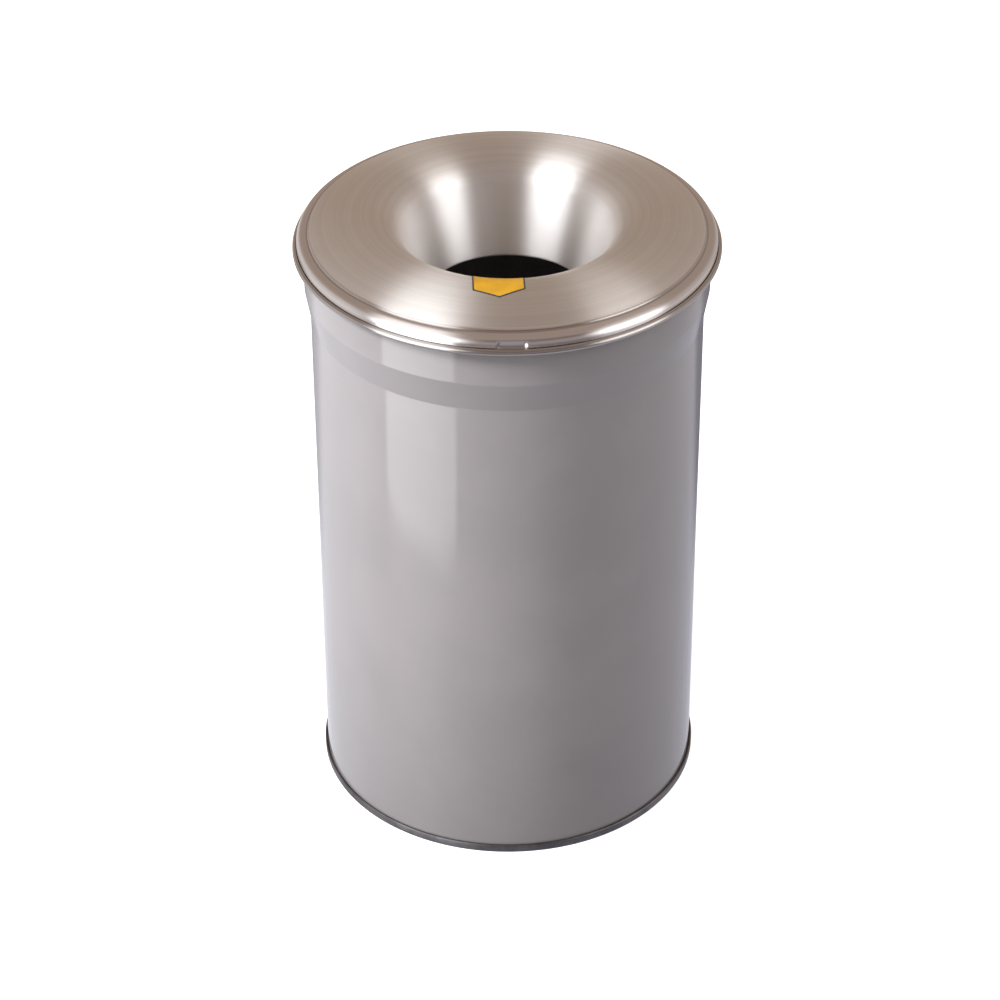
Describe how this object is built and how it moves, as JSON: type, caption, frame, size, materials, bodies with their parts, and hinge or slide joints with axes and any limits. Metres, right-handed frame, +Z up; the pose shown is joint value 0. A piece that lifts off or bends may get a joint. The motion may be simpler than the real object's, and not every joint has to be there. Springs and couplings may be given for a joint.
{
  "type": "drum waste receptacle",
  "caption": "Round steel drum waste can with a lift-off spun aluminium funnel head that smothers fire, for oily rags.",
  "frame": {"origin": "middle of the base, on the surface that the drum stands on", "axes": "+Z up along the drum's axis; -Y is the front, where the label is"},
  "size_m": [0.3888, 0.3888, 0.5982],
  "materials": {
    "drum_paint": "gloss grey baked paint with a faint orange peel",
    "bottom_steel": "bare dark rolled steel, scuffed along the foot",
    "compound": "dark sealing compound",
    "head_aluminium": "spun aluminium with fine circular brush lines",
    "label_vinyl": "satin yellow vinyl with a dark border"
  },
  "bodies": {
    "drum": {"drum_shell": "drum_paint", "drum_bottom": "bottom_steel", "seam_compound": "compound"},
    "head": {"funnel_head": "head_aluminium", "front_label": "label_vinyl"}
  },
  "joints": [
    {"name": "head_lift", "type": "slide", "parent": "drum", "child": "head", "axis": [0, 0, 1], "range_m": [0, 0.12]}
  ]
}
